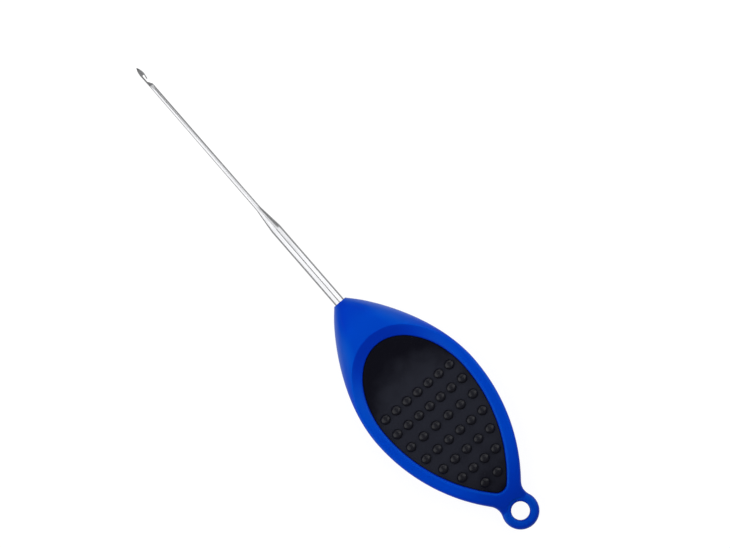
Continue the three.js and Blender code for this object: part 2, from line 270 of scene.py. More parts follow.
fillet = filletCentre()
rearEnd = atan2(fillet[1] - rearCentre[1], fillet[0] - rearCentre[0])
filletEnd = atan2(-fillet[1], handle["eyeAt"] - fillet[0])
rearEndAt = rearCentre[0] + rearRadius * cos(rearEnd)
filletEndAt = fillet[0] + eye["neckFillet"] * cos(filletEnd)
filletEndSide = fillet[1] + eye["neckFillet"] * sin(filletEnd)


def bezier(share, p0, p1, p2, p3):
    rest = 1 - share
    return rest**3 * p0 + 3 * rest**2 * share * p1 + 3 * rest * share**2 * p2 + share**3 * p3


# Half the handle's width, some way back from the nose
def halfWidthAt(back):
    if back < handle["widestAt"]:
        angle = radians(handle["noseAngle"])
        pull = handle["nosePull"]
        backs = (0, pull * cos(angle), handle["widestAt"] - handle["bellyPull"], handle["widestAt"])
        nose = handle["noseRadius"]
        sides = (nose, nose + pull * sin(angle), handle["halfWidth"], handle["halfWidth"])
        low, high = 0, 1
        for _ in range(handle["halvings"]):
            middle = (low + high) / 2
            if bezier(middle, *backs) < back:
                low = middle
            else:
                high = middle
        return bezier(low, *sides)
    if back < rearEndAt:
        return handle["halfWidth"] - arcDrop(rearRadius, back - handle["widestAt"])
    if back < filletEndAt:
        return fillet[1] - sqrt(eye["neckFillet"] ** 2 - (back - fillet[0]) ** 2)
    return filletEndSide


def halfThickness(back):
    if back < handle["noseRise"]:
        return handle["crown"] - arcDrop(noseArc, handle["noseRise"] - back)
    if back < handle["crownEnd"]:
        return handle["crown"]
    share = (back - handle["crownEnd"]) / tailRun
    tail = handle["crown"] - (handle["crown"] - eye["half"]) * share ** handle["tailCurve"]
    return max(tail, eye["half"] - handle["tailSink"])


# Width of the curve from the flat top down to the edge
def cornerRun(back):
    share = mix(1, handle["ovalShare"], ease(back, 0, handle["ovalUntil"]))
    oval = halfWidthAt(back) * share - handle["ovalFlat"]
    return mix(oval, handle["edgeRadius"], ease(back, handle["tightenFrom"], handle["tightenTo"]))


# Height of the handle's outer surface: round at the nose, then flat with rounded edges
def surfaceHeight(back, side):
    half = halfThickness(back)
    cornerSide = cornerRun(back)
    tight = ease(back, handle["tightenFrom"], handle["tightenTo"])
    cornerUp = mix(half - handle["ovalFlat"], handle["edgeRadius"], tight)
    over = (side - halfWidthAt(back) + cornerSide) / cornerSide
    over = min(max(over, 0), 1)
    return half - cornerUp + cornerUp * sqrt(1 - over * over)


# How far a point lies over on the nose's rounded sides, where a paler blue is painted on as painted sheen
def paintedSideSheenShare(back, side, up):
    if back > handle["tightenTo"]:
        return 0
    run = cornerRun(back)
    over = (side - halfWidthAt(back) + run) / run
    return ease(over, 0, 1) * (1 - ease(back, handle["tightenFrom"], handle["tightenTo"]))


# Height of the pad between its nubs
def padTop(back):
    dished = handle["crown"] - dish["thumbStop"]
    besideRim = halfThickness(back) - dish["rimHeight"]
    return mix(dished, besideRim, ease(back, dish["scoopFrom"], dish["scoopTo"]))


# Foot of the dish's wall, which leans out and ends level with the rim beside the pad
def wallFoot(back):
    dished = handle["crown"] - dish["thumbStop"] + dish["step"]
    return mix(dished, halfThickness(back), ease(back, dish["scoopFrom"], dish["scoopTo"]))


# Columns of the handle's and the pads' meshes, from the nose along one side to the tail
columns = {"nose": 8, "front": 26, "rear": 20, "fillet": 6, "tail": 4}
columnEnds = {}
columnCount = 0
for part, count in columns.items():
    columnEnds[part] = columnCount + count
    columnCount += count
noseShare = 15  # degrees of the pad's front that face the nose
outlineLead = 0.82  # spreads the columns so that they run square across the rim


# Point of the pad's outline for a column, with its outward direction
def padPoint(column):
    if column <= columnEnds["nose"]:
        angle = radians(noseShare) * column / columns["nose"]
    elif column <= columnEnds["front"]:
        share = (column - columnEnds["nose"]) / columns["front"]
        angle = mix(radians(noseShare), pi / 2, share)
    if column <= columnEnds["front"]:
        back = handle["widestAt"] - dish["frontLength"] * cos(angle)
        outX = -padHalfWidth * cos(angle)
        outY = dish["frontLength"] * sin(angle)
        length = hypot(outX, outY)
        return back, padHalfWidth * sin(angle), outX / length, outY / length
    if column <= columnEnds["rear"]:
        share = (column - columnEnds["front"]) / columns["rear"]
        angle = mix(pi / 2, tipAngle, share)
        radius, centreBack, centreSide = padRearRadius, handle["widestAt"], padRearSide
    else:
        share = (column - columnEnds["rear"]) / (columnCount - columnEnds["rear"])
        angle = mix(tipAngle, 0, share)
        radius, centreBack, centreSide = dish["tipRadius"], tipCentre, 0
    outX, outY = cos(angle), sin(angle)
    return centreBack + radius * outX, centreSide + radius * outY, outX, outY


# Point of the handle's own outline for a column
def outlinePoint(column):
    if column <= columnEnds["nose"]:
        angle = pi / 2 * column / columns["nose"]
        return 0, handle["noseRadius"] * sin(angle)
    if column <= columnEnds["front"]:
        share = (column - columnEnds["nose"]) / columns["front"]
        back = handle["widestAt"] * share**outlineLead
        return back, halfWidthAt(back)
    if column <= columnEnds["rear"]:
        share = (column - columnEnds["front"]) / columns["rear"]
        angle = mix(pi / 2, rearEnd, share)
        return rearCentre[0] + rearRadius * cos(angle), rearCentre[1] + rearRadius * sin(angle)
    if column <= columnEnds["fillet"]:
        share = (column - columnEnds["rear"]) / columns["fillet"]
        angle = mix(rearEnd - pi, filletEnd, share)
        radius = eye["neckFillet"]
        return fillet[0] + radius * cos(angle), fillet[1] + radius * sin(angle)
    share = (column - columnEnds["fillet"]) / columns["tail"]
    back = mix(filletEndAt, handle["eyeAt"], sin(share * pi / 2))
    return back, filletEndSide * cos(share * pi / 2)


# How far outside the pad the dish's wall meets the handle's outer surface
def crestOffset(column):
    back = padPoint(column)[0]
    share = ease(back, dish["scoopFrom"], dish["scoopTo"])
    return dish["gap"] + mix(dish["band"], dish["sideBand"], share)


# Where the rows of a column meet, on the middle line of the pad
def middleAt(back):
    share = (back - padFrontAt) / (padRearAt - padFrontAt)
    return mix(padFrontAt + dish["centreIn"], padRearAt - dish["centreIn"], share)


# Rows of the handle's quarter: up the outside and over its flat top, then down the dish into the pad's bed
roundSteps = 6
topSteps = 3
wallTop = 1  # row 0 lies on the middle plane, or round the nose's front
roundEnd = wallTop + roundSteps
topEnd = roundEnd + topSteps
dishRows = ["crest", "crestInner", "wall", "brink", "brinkRound", "foot", "bedEdge", "bedInner", "bedCentre"]
handleRows = topEnd + len(dishRows)


def outsidePoint(column, row):
    outBack, outSide = outlinePoint(column)
    back, side, outX, outY = padPoint(column)
    offset = crestOffset(column)
    spare = hypot(back + outX * offset - outBack, side + outY * offset - outSide)
    offset += min(dish["crestRound"], spare / 3)  # the top stops just short of the crest
    endBack, endSide = back + outX * offset, side + outY * offset
    length = hypot(endBack - outBack, endSide - outSide)
    run = min(cornerRun(outBack), handle["edgeLimit"] * length)
    travelled = 0
    if row > roundEnd:
        travelled = mix(run, length, (row - roundEnd) / topSteps)
    elif row > wallTop:
        travelled = run * (1 - cos(pi / 2 * (row - wallTop) / roundSteps))
    atBack = mix(outBack, endBack, travelled / length)
    atSide = mix(outSide, endSide, travelled / length)
    onNose = column <= columnEnds["nose"]
    if row == 0 and not onNose:
        return place(atBack, atSide, 0)
    if row == wallTop and onNose:
        atBack += handle["noseEdge"]
    if column == columnEnds["nose"] and row <= wallTop:
        return place(atBack, halfWidthAt(atBack), 0)
    return place(atBack, atSide, surfaceHeight(atBack, atSide))


def dishPoint(column, name):
    back, side, outX, outY = padPoint(column)
    gap = dish["gap"]
    bedDepth = dish["inset"] + dish["bedClear"]
    if name == "bedCentre":
        return place(middleAt(back), 0, padTop(middleAt(back)) - bedDepth)
    if name == "bedInner":
        halfway = mix(back, middleAt(back), 0.5)
        return place(halfway, side / 2, padTop(halfway) - bedDepth)
    if name == "bedEdge":
        return place(back + outX * gap, side + outY * gap, padTop(back) - bedDepth)
    offset = crestOffset(column)
    edge = dish["innerEdge"]
    reach = {
        "crest": offset,
        "crestInner": offset - dish["crestRound"],
        "wall": mix(gap, offset, dish["wallShare"]),
        "brink": gap + edge,
        "brinkRound": gap + edge * dish["brinkShare"],
        "foot": gap,
    }[name]
    crestUp = surfaceHeight(back + outX * offset, side + outY * offset)
    up = mix(wallFoot(back), crestUp, (reach - gap) / (offset - gap))
    fall = {"brinkRound": dish["brinkShare"], "foot": 1}.get(name, 0)
    up -= edge * fall * ease(back, dish["scoopFrom"], dish["scoopTo"])  # a round edge, beside the pad alone
    return place(back + outX * reach, side + outY * reach, up)


def handlePoint(column, row):
    if row <= topEnd:
        return outsidePoint(column, row)
    return dishPoint(column, dishRows[row - topEnd - 1])


# The eye is a rounded bar, spun about the axis of its hole
def makeEye():
    deselectAll()
    centre = place(handle["eyeAt"], 0, 0)
    wide = (eye["radius"] - eye["holeRadius"]) * mm
    barX = centre.x + eye["holeRadius"] * mm + wide / 2
    bpy.ops.mesh.primitive_plane_add(size=1, location=(barX, 0, 0), rotation=(pi / 2, 0, 0))
    ring = bpy.context.object
    ring.scale = (wide, 2 * eye["half"] * mm, 1)
    bpy.ops.object.transform_apply(location=True, rotation=True, scale=True)
    for edge, isOuter in (("outerEdge", True), ("holeEdge", False)):
        editOnly(ring)
        selectWhere(ring, lambda co: (co.x > barX) == isOuter)
        bpy.ops.mesh.bevel(offset=eye[edge] * mm, segments=eye["edgeSteps"], affect="VERTICES", profile=0.5)
        deselectAll()
    editOnly(ring)
    bpy.ops.mesh.select_all(action="SELECT")
    bpy.ops.mesh.delete(type="ONLY_FACE")
    bpy.ops.mesh.select_all(action="SELECT")
    bpy.ops.mesh.spin(steps=eye["steps"], angle=2 * pi, center=centre, axis=(0, 0, 1))
    deselectAll()
    cleanUp(ring)
    return ring


def makeHandle(material):
    body = shapedGrid("handle_shell", columnCount, handleRows, handlePoint)
    # the nose's face goes in to the bore, and the bore goes back to its blind end
    editOnly(body)
    selectWhere(body, lambda co: abs(co.x - noseX) < mergeGap)
    inwards = (needle["shank"] + handle["boreGap"]) / handle["noseRadius"]
    axis = place(0, 0, 0)
    bpy.ops.mesh.extrude_region_move()
    bpy.ops.transform.resize(value=(1, inwards, inwards), center_override=axis)
    for depth in (handle["boreMouth"], handle["boreDepth"]):
        bpy.ops.mesh.extrude_region_move(TRANSFORM_OT_translate={"value": (-depth * mm, 0, 0)})
    bpy.ops.mesh.extrude_region_move()
    bpy.ops.transform.resize(value=(1, 0, 0), center_override=axis)
    deselectAll()
    both = (False, True, True)
    useModifier(body, "MIRROR", use_axis=both, use_clip=True, merge_threshold=seamGap)
    cleanUp(body)
    useModifier(body, "SUBSURF", levels=2, render_levels=2)
    deselectAll()
    bpy.ops.mesh.primitive_cylinder_add(
        vertices=eye["steps"],
        radius=eye["cutRadius"] * mm,
        depth=4 * eye["half"] * mm,
        location=place(handle["eyeAt"], 0, 0),
    )
    combine(body, bpy.context.object, "DIFFERENCE")
    combine(body, makeEye(), "UNION")
    combine(body, makeTang(handle["boreGap"]), "DIFFERENCE")
    cleanUp(body)
    # marks the nose's rounded sides for the painted sheen
    markPoints(body, "paled", paintedSideSheenShare)
    finishPiece(body, "handle_body", material, handle["smoothAngle"])


pad = {
    "edge": 0.12,
    "edgeSlip": 0.3,  # how far the middle of that edge draws in, as a share of it
    "grow": 0.05,  # the rubber closes most of the gap round it
    "innerRows": 9,
    "rowPitch": 4.2,
    "lead": 2.8,  # first row of nubs, ahead of the widest place
    "margin": 2,  # outer nubs, in from the pad's edge
    "pitchMin": 3.1,
    "pitchMax": 3.65,
    "smoothAngle": 35,
}
nub = {
    "sides": 20,
    "root": (1.16, -0.4),
    "rings": [(1.16, 0.02), (1.13, 0.22), (1.05, 0.4), (0.9, 0.54), (0.66, 0.62), (0.35, 0.645)],
    "top": 0.65,
    "tiltSpan": 1,  # length of the pad that sets how a nub leans
}
padRowNames = ["underCentre", "underInner", "underEdge", "sideLow", "sideTop", "edgeRound"]
padRowNames += ["top"] * (pad["innerRows"] + 1)


def padShape(column, row):
    name = padRowNames[row]
    back, side, outX, outY = padPoint(column)
    back, side = back + outX * pad["grow"], side + outY * pad["grow"]
    top = padTop(back)
    under = top - dish["inset"]
    centre = middleAt(back)
    if name == "underCentre":
        return place(centre, 0, padTop(centre) - dish["inset"])
    if name == "underInner":
        halfway = mix(back, centre, 0.5)
        return place(halfway, side / 2, padTop(halfway) - dish["inset"])
    edge = pad["edge"]
    sideHeights = {"underEdge": under, "sideLow": under + edge / 2, "sideTop": top - edge}
    if name in sideHeights:
        return place(back, side, sideHeights[name])
    if name == "edgeRound":
        slip = edge * pad["edgeSlip"]
        return place(back - outX * slip, side - outY * slip, top - slip)
    share = (row - padRowNames.index("top")) / pad["innerRows"]
    back = mix(back - outX * edge, centre, share)
    side = mix(side - outY * edge, 0, share)
    return place(back, side, padTop(back))


def makeNub():
    deselectAll()
    radius, up = nub["root"]
    bpy.ops.mesh.primitive_circle_add(
        vertices=nub["sides"], radius=radius * mm, fill_type="NGON", location=(0, 0, up * mm)
    )
    knob = bpy.context.object
    knob.name = "nub"
    bpy.ops.object.transform_apply(location=True)
    editOnly(knob)
    bpy.ops.mesh.select_all(action="SELECT")
    for nextRadius, nextUp in nub["rings"]:
        lift = (0, 0, (nextUp - up) * mm)
        bpy.ops.mesh.extrude_region_move(TRANSFORM_OT_translate={"value": lift})
        grow = nextRadius / radius
        bpy.ops.transform.resize(value=(grow, grow, 1), center_override=(0, 0, nextUp * mm))
        radius, up = nextRadius, nextUp
    bpy.ops.mesh.extrude_region_move(TRANSFORM_OT_translate={"value": (0, 0, (nub["top"] - up) * mm)})
    bpy.ops.mesh.merge(type="CENTER")
    deselectAll()
    cleanUp(knob)
    return knob


def padHalfWidthAt(back):
    behind = back - handle["widestAt"]
    if behind < 0:
        return padHalfWidth * sqrt(1 - (behind / dish["frontLength"]) ** 2)
    return padHalfWidth - arcDrop(padRearRadius, behind)


# Places of the nubs: rows across the pad for as far as it is wide enough for two
def nubPlaces():
    places = []
    back = handle["widestAt"] - pad["lead"]
    spread = padHalfWidthAt(back) - pad["margin"]
    while 2 * spread > pad["pitchMin"]:
        gaps = int(2 * spread / pad["pitchMin"])
        pitch = min(2 * spread / gaps, pad["pitchMax"])
        places += [(back, (i - gaps / 2) * pitch) for i in range(gaps + 1)]
        back += pad["rowPitch"]
        spread = padHalfWidthAt(back) - pad["margin"]
    return places


# How far a point of the pad belongs to a nub
def nubShare(back, side, up):
    return ease(up - padTop(back), nub["rings"][0][1], nub["rings"][1][1])


# One nub is copied to each of its places, standing square on the pad
def makeNubs():
    first = makeNub()
    copies = []
    for back, side in nubPlaces():
        copy = first.copy()
        copy.data = first.data.copy()
        bpy.context.scene.collection.objects.link(copy)
        copy.location = place(back, side, padTop(back))
        span = nub["tiltSpan"]
        rise = padTop(back + span / 2) - padTop(back - span / 2)
        copy.rotation_euler = (0, atan2(rise, span), 0)
        copies.append(copy)
    bpy.data.objects.remove(first)
    deselectAll()
    for copy in copies:
        copy.select_set(True)
    bpy.context.view_layer.objects.active = copies[0]
    bpy.ops.object.transform_apply(location=True, rotation=True, scale=True)
    bpy.ops.object.join()
    return bpy.context.object


def makePads(material):
    upper = shapedGrid("upper_thumb_pad", columnCount, len(padRowNames) - 1, padShape)
    sideways = (False, True, False)
    useModifier(upper, "MIRROR", use_axis=sideways, use_clip=True, merge_threshold=seamGap)
    cleanUp(upper)
    useModifier(upper, "SUBSURF", levels=2, render_levels=2)
    combine(upper, makeNubs(), "UNION")
    cleanUp(upper)
    markPoints(upper, "raised", nubShare)
    lower = upper.copy()
    lower.data = upper.data.copy()
    lower.name = "lower_thumb_pad"
    bpy.context.scene.collection.objects.link(lower)
    editOnly(lower)
    bpy.ops.mesh.select_all(action="SELECT")
    bpy.ops.transform.rotate(value=pi, orient_axis="X", center_override=(0, 0, 0))
    deselectAll()
    finishPiece(upper, "upper_grip_pad", material, pad["smoothAngle"])
    finishPiece(lower, "lower_grip_pad", material, pad["smoothAngle"])


needle = {
    "reach": (needleHigh.x - noseX) / mm,
    "shank": (needleHigh.z - needleLow.z) / 2 / mm,
    "shankReach": 21.9,  # nose to the foot of the shoulder
    "shoulder": 5.9,
    "bladeRoot": 0.6,
    "bladeTip": 0.525,
    "point": 0.575,
    "pointLength": 2,
    "throatFloor": 2.25,  # these are behind the tip
    "barbEnd": 3.45,
    "scarfFoot": 3.95,
    "scarfTop": 5.1,
    "barbThickness": 0.28,
    "barbLean": 0.2,  # the barb's end leans in to the neck
    "neckThickness": 0.34,
    "hookThickness": 0.66,  # between the flats pressed on the hook
    "flatRunOut": 1.5,
    "sides": 48,
    "soften": 0.35,  # rounding of the shoulder's two ends
    "pointRings": 9,
    "arcSteps": 18,  # in the barb's end and the throat's floor
    "cutClear": 1,  # the cutters reach this far past the needle
    "brokenEdge": 0.02,
    "brokenAngle": 40,  # sharper edges than this are broken
    "smoothAngle": 12,
    "seat": 10.7,  # end of the round shank, behind the nose
    "tangOverlap": 2.5,
    "tangLength": 11,
    "tangHalf": 1.8,
    "tangThickness": 1.2,
    "tangSteps": 16,
    "slotShare": 0.25,  # the tail's flat sides lie closer in the slot than its edges
}


# A flat plate with the given outline, and its top and bottom at these heights
def plate(name, outline, low, high):
    deselectAll()
    bpy.ops.mesh.primitive_circle_add(vertices=len(outline), radius=1, fill_type="NGON")
    made = bpy.context.object
    made.name = name
    for vertex, point in zip(made.data.vertices, outline):
        vertex.co = place(*point, low)
    editOnly(made)
    bpy.ops.mesh.select_all(action="SELECT")
    bpy.ops.mesh.extrude_region_move(TRANSFORM_OT_translate={"value": (0, 0, (high - low) * mm)})
    deselectAll()
    cleanUp(made, fineGap)
    return made


def arcPoints(back, side, radius, first, last, steps):
    angles = [mix(first, last, i / steps) for i in range(steps + 1)]
    return [(back + radius * cos(angle), side + radius * sin(angle)) for angle in angles]


# Flattened tail of the needle, which the handle is moulded round
def makeTang(grow):
    half = needle["tangHalf"] + grow
    root = needle["seat"] - needle["tangOverlap"] - grow
    centre = needle["seat"] + needle["tangLength"] - needle["tangHalf"]
    outline = [(root, half), (root, -half)]
    outline += arcPoints(centre, 0, half, -pi / 2, pi / 2, needle["tangSteps"])
    up = needle["tangThickness"] / 2 + grow * needle["slotShare"]
    return plate("tang", outline, -up, up)


# The throat of the hook, open on the barb's side
def makeThroat():
    tip = -needle["reach"]
    neckEdge = needle["neckThickness"] - needle["bladeTip"]
    barbHalf = needle["barbThickness"] / 2
    barbBack = tip + needle["barbEnd"] - barbHalf
    barbSide = needle["point"] - needle["barbLean"] - barbHalf
    throatHalf = (needle["point"] - needle["barbThickness"] - neckEdge) / 2
    throatBack = tip + needle["throatFloor"] + throatHalf
    throatSide = neckEdge + throatHalf
    clear = needle["cutClear"]
    steps = needle["arcSteps"]
    outside = needle["point"] + clear
    outline = [(tip + needle["pointLength"], outside), (tip + needle["pointLength"], needle["point"])]
    outline += arcPoints(barbBack, barbSide, barbHalf, pi / 2, -pi / 2, steps)
    outline += arcPoints(throatBack, throatSide, throatHalf, pi / 2, pi * 1.5, steps)
    outline += [(tip + needle["scarfFoot"], neckEdge), (tip + needle["scarfTop"], needle["bladeTip"])]
    outline += [(tip + 2 * needle["scarfTop"] - needle["scarfFoot"], outside)]
    return plate("throat", [(back, -side) for back, side in outline], -clear, clear)


# What is pressed off one face of the hook, with a ramp back to the round blade
def makeFlat(face):
    tip = -needle["reach"]
    half = needle["hookThickness"] / 2
    clear = needle["cutClear"]
    outside = 2 * clear
    rampEnd = tip + needle["scarfTop"] + needle["flatRunOut"]
    outline = [(tip - clear, outside), (tip - clear, half), (tip + needle["scarfTop"], half)]
    outline += [(rampEnd, needle["point"]), (rampEnd, outside)]
    made = plate("flat", outline, -clear, clear)
    editOnly(made)
    bpy.ops.mesh.select_all(action="SELECT")
    bpy.ops.transform.rotate(value=face * pi / 2, orient_axis="X", center_override=(0, 0, 0))
    deselectAll()
    return made


# Rings of the turned needle, as its reach from the nose and its radius
def needleRings():
    soft = needle["soften"]
    foot = needle["shankReach"]
    head = foot + needle["shoulder"]
    fall = (needle["shank"] - needle["bladeRoot"]) / needle["shoulder"]
    bladeEnd = needle["reach"] - needle["scarfTop"]
    thin = (needle["bladeRoot"] - needle["bladeTip"]) / (bladeEnd - head)
    rings = [(0, needle["shank"]), (foot - soft, needle["shank"])]
    rings += [(foot, needle["shank"] - soft * fall / 4), (foot + soft, needle["shank"] - soft * fall)]
    rings += [(head - soft, needle["bladeRoot"] + soft * fall), (head, needle["bladeRoot"] + soft * fall / 4)]
    rings += [(head + soft, needle["bladeRoot"] - soft * thin), (bladeEnd, needle["bladeTip"])]
    rings += [(needle["reach"] - needle["throatFloor"], needle["point"])]
    ogive = arcRadius(needle["pointLength"], needle["point"])
    for i in range(needle["pointRings"]):
        along = needle["pointLength"] * i / needle["pointRings"]
        reach = needle["reach"] - needle["pointLength"] + along
        rings.append((reach, needle["point"] - arcDrop(ogive, along)))
    return rings


def makeNeedle(material):
    deselectAll()
    along, radius = -needle["seat"], needle["shank"]
    bpy.ops.mesh.primitive_circle_add(
        vertices=needle["sides"],
        radius=radius * mm,
        fill_type="NGON",
        location=place(-along, 0, 0),
        rotation=(0, pi / 2, 0),
    )
    rod = bpy.context.object
    rod.name = "hooked_needle"
    bpy.ops.object.transform_apply(location=True, rotation=True)
    editOnly(rod)
    bpy.ops.mesh.select_all(action="SELECT")
    for nextAlong, nextRadius in needleRings():
        step = ((nextAlong - along) * mm, 0, 0)
        bpy.ops.mesh.extrude_region_move(TRANSFORM_OT_translate={"value": step})
        grow = nextRadius / radius
        bpy.ops.transform.resize(value=(1, grow, grow), center_override=place(-nextAlong, 0, 0))
        along, radius = nextAlong, nextRadius
    step = ((needle["reach"] - along) * mm, 0, 0)
    bpy.ops.mesh.extrude_region_move(TRANSFORM_OT_translate={"value": step})
    bpy.ops.mesh.merge(type="CENTER")
    deselectAll()
    cleanUp(rod, fineGap)
    combine(rod, makeTang(0), "UNION")
    combine(rod, makeThroat(), "DIFFERENCE")
    combine(rod, makeFlat(1), "DIFFERENCE")
    combine(rod, makeFlat(-1), "DIFFERENCE")
    cleanUp(rod, fineGap)
    useModifier(
        rod,
        "BEVEL",
        width=needle["brokenEdge"] * mm,
        segments=2,
        limit_method="ANGLE",
        angle_limit=radians(needle["brokenAngle"]),
    )
    cleanUp(rod, fineGap)
    finishPiece(rod, "needle", material, needle["smoothAngle"])


# Materials

def setStops(ramp, stops):
    while len(ramp.elements) < len(stops):
        ramp.elements.new(0.5)
    for element, (position, colour) in zip(ramp.elements, stops):
        element.position = position
        element.color = colour


class Wire:
    def __init__(self, tree, socket):  # a socket that Python sums can use
        self.tree = tree
        self.socket = socket

    def node(self, kind, settings, inputs, output=0):
        made = self.tree.nodes.new("ShaderNode" + kind)
        for key, value in settings.items():
            if key == "stops":
                setStops(made.color_ramp, value)
            else:
                setattr(made, key, value)
        for key, value in inputs.items():
            if isinstance(value, Wire):
                self.tree.links.new(value.socket, made.inputs[key])
            else:
                made.inputs[key].default_value = value
        return Wire(self.tree, made.outputs[output])

    def maths(self, operation, first, second):
        return self.node("Math", {"operation": operation}, {0: first, 1: second})

    def __add__(self, other):
        return self.maths("ADD", self, other)

    def __radd__(self, other):
        return self.maths("ADD", other, self)

    def __sub__(self, other):
        return self.maths("SUBTRACT", self, other)

    def __rsub__(self, other):
        return self.maths("SUBTRACT", other, self)

    def __mul__(self, other):
        return self.maths("MULTIPLY", self, other)

    def __rmul__(self, other):
        return self.maths("MULTIPLY", other, self)

    def atLeast(self, low):
        return self.maths("MAXIMUM", self, low)

    def axis(self, number):  # 0, 1 or 2 for this vector's x, y or z
        return self.node("SeparateXYZ", {}, {0: self}, number)

    def mark(self, name):  # a share that markPoints kept on the mesh
        return self.node("Attribute", {"attribute_name": name}, {}, "Fac")

    def blend(self, first, second):  # this value mixes two colours
        return self.node("Mix", {"data_type": "RGBA"}, {0: self, 6: first, 7: second}, 2)

    def band(self, low, high):  # 0 up to low, 1 from high
        inputs = {"Value": self, "From Min": low, "From Max": high}
        return self.node("MapRange", {"interpolation_type": "SMOOTHSTEP"}, inputs)

    def noise(self, scale, detail=2, roughness=0.5):  # this vector's noise
        inputs = {"Vector": self, "Scale": scale, "Detail": detail, "Roughness": roughness}
        return self.node("TexNoise", {}, inputs)

    def stretch(self, sizes):
        return self.node("Mapping", {}, {"Vector": self, "Scale": sizes})

    def bump(self, strength, distance):
        return self.node("Bump", {}, {"Height": self, "Strength": strength, "Distance": distance})


# A new material, with its shader and its object coordinates
def startMaterial(name, settings):
    material = bpy.data.materials.new(name)
    material.use_nodes = True
    tree = material.node_tree
    shader = tree.nodes["Principled BSDF"]
    for key, value in settings.items():
        shader.inputs[key].default_value = value
    coordinates = tree.nodes.new("ShaderNodeTexCoord")
    return material, shader, Wire(tree, coordinates.outputs["Object"])


def plug(shader, wires):
    for key, wire in wires.items():
        wire.tree.links.new(wire.socket, shader.inputs[key])


plastic = {
    "colour": (0.0001, 0.018, 0.357, 1),
    "deepAndShade": (0.0001, 0.0142, 0.286, 1),  # a shade darker where the moulding's tone varies, and towards the eye, where the darkening is painted shade
    "paled": (0.0001, 0.043, 0.36, 1),  # painted sheen on the nose's sides
    "sheen": (0.003, 0.6, 1, 1),  # colour of its gloss
    "specular": 0.42,
    "roughness": 0.4,
    "clouds": (160, 3),  # a noise's scale per metre, its detail and its roughness
    "cloudBand": (0.3, 0.7),
    "cloudDepth": 0.25,
    "tail": (46, 58),  # painted shade: the blue darkens towards the eye, between these places behind the nose
    "tailShade": 0.75,
    "grain": (5200, 2, 0.6),
    "grainRoughness": 0.06,
    "grainBump": (0.12, 0.02 * mm),  # strength and depth
    "scuffs": (900, 4, 0.65),
    "scuffBand": (0.55, 0.8),
    "scuffRoughness": 0.08,
}
rubber = {
    "colour": (0.001, 0.0006, 0.0026, 1),
    "wearAndShade": (0.0108, 0.0113, 0.0168, 1),  # greyed rubber where the thumb rests; the black left round it, under the dish's front wall and by the rims, is painted shade
    "dust": (0.03, 0.03, 0.034, 1),
    "sheen": (0.75, 0.85, 1, 1),
    "specular": 0.05,
    "roughness": 0.5,
    "nubGloss": 0.26,  # the nubs are rubbed smooth
    "nubRoughness": 0.22,
    "nubPaintedShade": 0.8,  # painted shade: their base is made blacker, to darken their shaded sides
    "wornAhead": 13.5,  # half sizes of the greyed oval about the widest place, in millimetres; beyond its front and sides the black is painted shade
    "wornBehind": 33,
    "wornAside": 24,
    "wornBow": 30,  # its front bows forward in the middle, per metre
    "wornFade": (0.05, 0.9),
    "wornFray": 0.2,  # the patches fray its edge
    "patches": (240, 3),
    "patchBand": (0.35, 0.7),
    "patchRoughness": 0.05,
    "specks": (2600, 1),
    "speckBand": (0.7, 0.78),
    "speckDepth": 0.35,
    "grain": (4200, 3, 0.65),
    "grainRoughness": 0.05,
    "grainBump": (0.15, 0.02 * mm),
}
steel = {
    "colour": (0.36, 0.362, 0.37, 1),
    "streak": (0.3, 0.302, 0.31, 1),
    "roughness": 0.1,
    "stretch": (180, 5200, 5200),  # drawing marks run along the needle
    "lines": (1, 3, 0.6),
    "lineBand": (0.35, 0.7),
    "lineRoughness": 0.08,
    "lineBump": (0.05, 0.004 * mm),
}


def bluePlastic():
    settings = {"Specular IOR Level": plastic["specular"], "Specular Tint": plastic["sheen"]}
    material, shader, spot = startMaterial("blue_moulded_plastic", settings)
    clouds = spot.noise(*plastic["clouds"]).band(*plastic["cloudBand"])
    # the darkening towards the eye is painted shade; the clouds are the moulding's own uneven tone
    shadeFrom, shadeTo = plastic["tail"]
    tail = (noseX - spot.axis(0)).band(shadeFrom * mm, shadeTo * mm)
    depth = clouds * plastic["cloudDepth"] + tail * plastic["tailShade"]
    body = depth.blend(plastic["colour"], plastic["deepAndShade"])
    grain = spot.noise(*plastic["grain"])
    scuffs = spot.noise(*plastic["scuffs"]).band(*plastic["scuffBand"])
    dulled = grain * plastic["grainRoughness"] + scuffs * plastic["scuffRoughness"]
    plug(
        shader,
        {
            # a paler blue on the nose's sides is painted sheen
            "Base Color": spot.mark("paled").blend(body, plastic["paled"]),
            "Roughness": plastic["roughness"] + dulled,
            "Normal": grain.bump(*plastic["grainBump"]),
        },
    )
    return material


